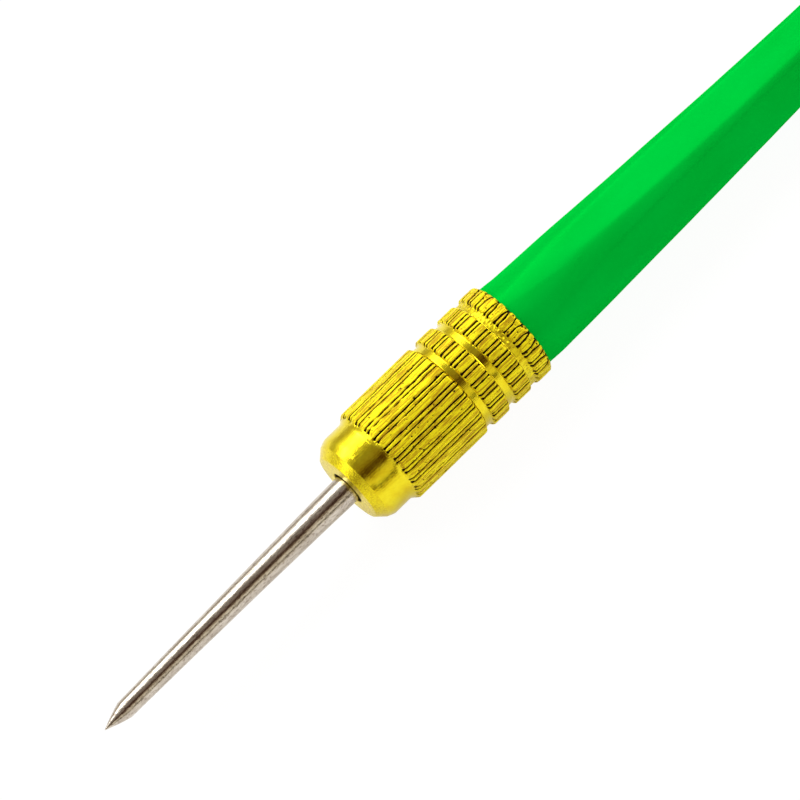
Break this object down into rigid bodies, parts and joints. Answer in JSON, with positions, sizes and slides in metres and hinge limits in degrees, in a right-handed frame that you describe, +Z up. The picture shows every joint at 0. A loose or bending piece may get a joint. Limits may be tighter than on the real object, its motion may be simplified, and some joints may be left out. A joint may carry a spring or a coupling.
{
  "type": "scratch awl",
  "caption": "Scratch awl for leather: a tapered steel needle held by a knurled brass collet chuck on a slim green hexagonal plastic handle.",
  "frame": {"origin": "middle of the tool's length, at the lowest line of the knurl it lies on", "axes": "+X along the tool's axis towards the butt of the handle, the needle's tip towards -X; +Z up"},
  "size_m": [0.13, 0.011, 0.011],
  "materials": {
    "needle_steel": "bright polished steel with fine scratches",
    "collet_steel": "turned spring steel",
    "brass": "bright turned brass, knurled, tarnished brown in the knurl's valleys",
    "handle_plastic": "smooth moulded green plastic with a soft gloss"
  },
  "bodies": {
    "handle_and_body": {"handle": "handle_plastic", "chuck_body": "brass"},
    "collet": {"collet": "collet_steel"},
    "chuck_nut": {"chuck_nut": "brass"},
    "needle": {"needle": "needle_steel"}
  },
  "joints": [
    {"name": "collet_travel", "type": "slide", "parent": "handle_and_body", "child": "collet", "axis": [-1, 0, 0], "range_m": [0, 0.0045]},
    {"name": "nut_turn", "type": "hinge", "parent": "collet", "child": "chuck_nut", "pos_m": [-0.032, 0, 0.0055], "axis": [-1, 0, 0], "range_deg": [0, 1620]},
    {"name": "needle_slide", "type": "slide", "parent": "collet", "child": "needle", "axis": [-1, 0, 0], "range_m": [0, 0.018]}
  ],
  "couplings": [
    {"joint": "nut_turn", "follows": "collet_travel", "rad_per_m": 6283.2}
  ]
}
